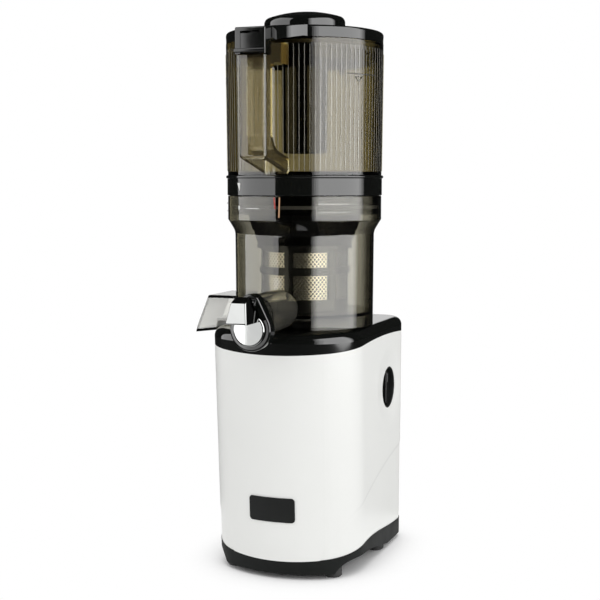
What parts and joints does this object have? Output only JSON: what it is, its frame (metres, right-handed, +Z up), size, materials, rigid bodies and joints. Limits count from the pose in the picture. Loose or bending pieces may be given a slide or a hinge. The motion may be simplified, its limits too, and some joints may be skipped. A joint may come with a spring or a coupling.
{
  "type": "slow juicer",
  "caption": "Upright slow juicer: motor base, see-through bowl with pressing screw and strainer, flip-cap spout, pulp chute and large hopper with a hinged lid.",
  "frame": {"origin": "on the floor, under the middle of the whole machine's box", "axes": "+Z up, front with the spout towards -Y, switch on the +X side"},
  "size_m": [0.1702, 0.2616, 0.502],
  "materials": {
    "white_shell": "white moulded shell, satin gloss",
    "black_gloss": "piano black",
    "black_satin": "satin black",
    "foot_rubber": "black rubber",
    "silicone": "grey silicone",
    "smoke_clear": "see-through smoke plastic",
    "chrome_plate": "chrome-plated plastic",
    "steel": "bright steel",
    "bronze": "sintered bronze",
    "white_gear": "white acetal",
    "screw_resin": "dark hard resin",
    "strainer_black": "dark see-through frame",
    "cast_metal": "cast aluminium",
    "motor_paint": "dark grey paint",
    "switch_grey": "grey resin",
    "board": "green laminate"
  },
  "bodies": {
    "base": {"main_housing": "white_shell", "top_cover": "black_gloss", "bottom_cover": "black_satin", "rubber_feet": "foot_rubber", "nameplate": "black_satin", "switch_cup": "black_satin", "switch_body": "switch_grey", "motor": "motor_paint", "countershaft_bushes": "bronze", "gearbox_housing": "cast_metal", "gearbox_cover": "cast_metal", "gearbox_screws": "steel", "drive_bearings": "steel", "shaft_seal": "silicone", "control_board": "board", "cord_gland": "black_satin"},
    "switch": {"switch_dial": "black_satin"},
    "rotor": {"motor_shaft": "steel"},
    "layshaft": {"reduction_gear": "white_gear", "countershaft": "steel"},
    "drive": {"output_gear": "steel", "drive_shaft": "steel"},
    "bowl": {"juicing_bowl": "smoke_clear", "bowl_seal": "silicone", "spout_head": "black_gloss", "cap_pin": "steel", "pulp_chute": "smoke_clear", "pulp_gasket": "silicone", "strainer_frame": "strainer_black", "strainer_mesh": "steel"},
    "screw": {"juicing_screw": "screw_resin", "screw_socket": "steel"},
    "cap": {"cap_lever": "chrome_plate", "cap_seal": "silicone"},
    "hopper": {"hopper": "smoke_clear", "hopper_collar": "black_gloss", "feed_throat": "smoke_clear", "throat_seal": "silicone", "hopper_handle": "smoke_clear", "hinge_pin": "steel"},
    "lid": {"lid": "black_gloss", "lid_gasket": "silicone", "lid_plunger": "black_gloss", "lid_knob": "black_gloss", "knob_screw": "steel", "latch_pin": "steel"},
    "latch": {"lid_latch": "black_gloss"}
  },
  "joints": [
    {"name": "drive_spin", "type": "hinge", "parent": "base", "child": "drive", "pos_m": [0.01435, 0.026, 0.14], "axis": [0, 0, 1], "continuous": true},
    {"name": "layshaft_spin", "type": "hinge", "parent": "base", "child": "layshaft", "pos_m": [0.01435, 0.062, 0.13], "axis": [0, 0, 1], "continuous": true},
    {"name": "motor_spin", "type": "hinge", "parent": "base", "child": "rotor", "pos_m": [0.01435, 0.026, 0.115], "axis": [0, 0, 1], "continuous": true},
    {"name": "switch_turn", "type": "hinge", "parent": "base", "child": "switch", "pos_m": [0.07435, 0.0705, 0.1556], "axis": [1, 0, 0], "range_deg": [-45, 45]},
    {"name": "bowl_lift", "type": "slide", "parent": "base", "child": "bowl", "axis": [0, 0, 1], "range_m": [0, 0.06]},
    {"name": "screw_spin", "type": "hinge", "parent": "bowl", "child": "screw", "pos_m": [0.01435, 0.026, 0.26], "axis": [0, 0, 1], "continuous": true},
    {"name": "cap_open", "type": "hinge", "parent": "bowl", "child": "cap", "pos_m": [0.01435, -0.1055, 0.249], "axis": [-1, 0, 0], "range_deg": [0, 80]},
    {"name": "hopper_lift", "type": "slide", "parent": "bowl", "child": "hopper", "axis": [0, 0, 1], "range_m": [0, 0.06]},
    {"name": "lid_open", "type": "hinge", "parent": "hopper", "child": "lid", "pos_m": [0.01435, 0.105, 0.475], "axis": [-1, 0, 0], "range_deg": [0, 105]},
    {"name": "latch_pull", "type": "hinge", "parent": "lid", "child": "latch", "pos_m": [0.01435, -0.0935, 0.464], "axis": [-1, 0, 0], "range_deg": [0, 14], "stiffness_Nm_per_rad": 0.08, "springref_deg": -5.73}
  ],
  "couplings": [
    {"joint": "layshaft_spin", "follows": "drive_spin", "ratio": -4},
    {"joint": "motor_spin", "follows": "drive_spin", "ratio": 20},
    {"joint": "screw_spin", "follows": "drive_spin", "ratio": 1}
  ]
}
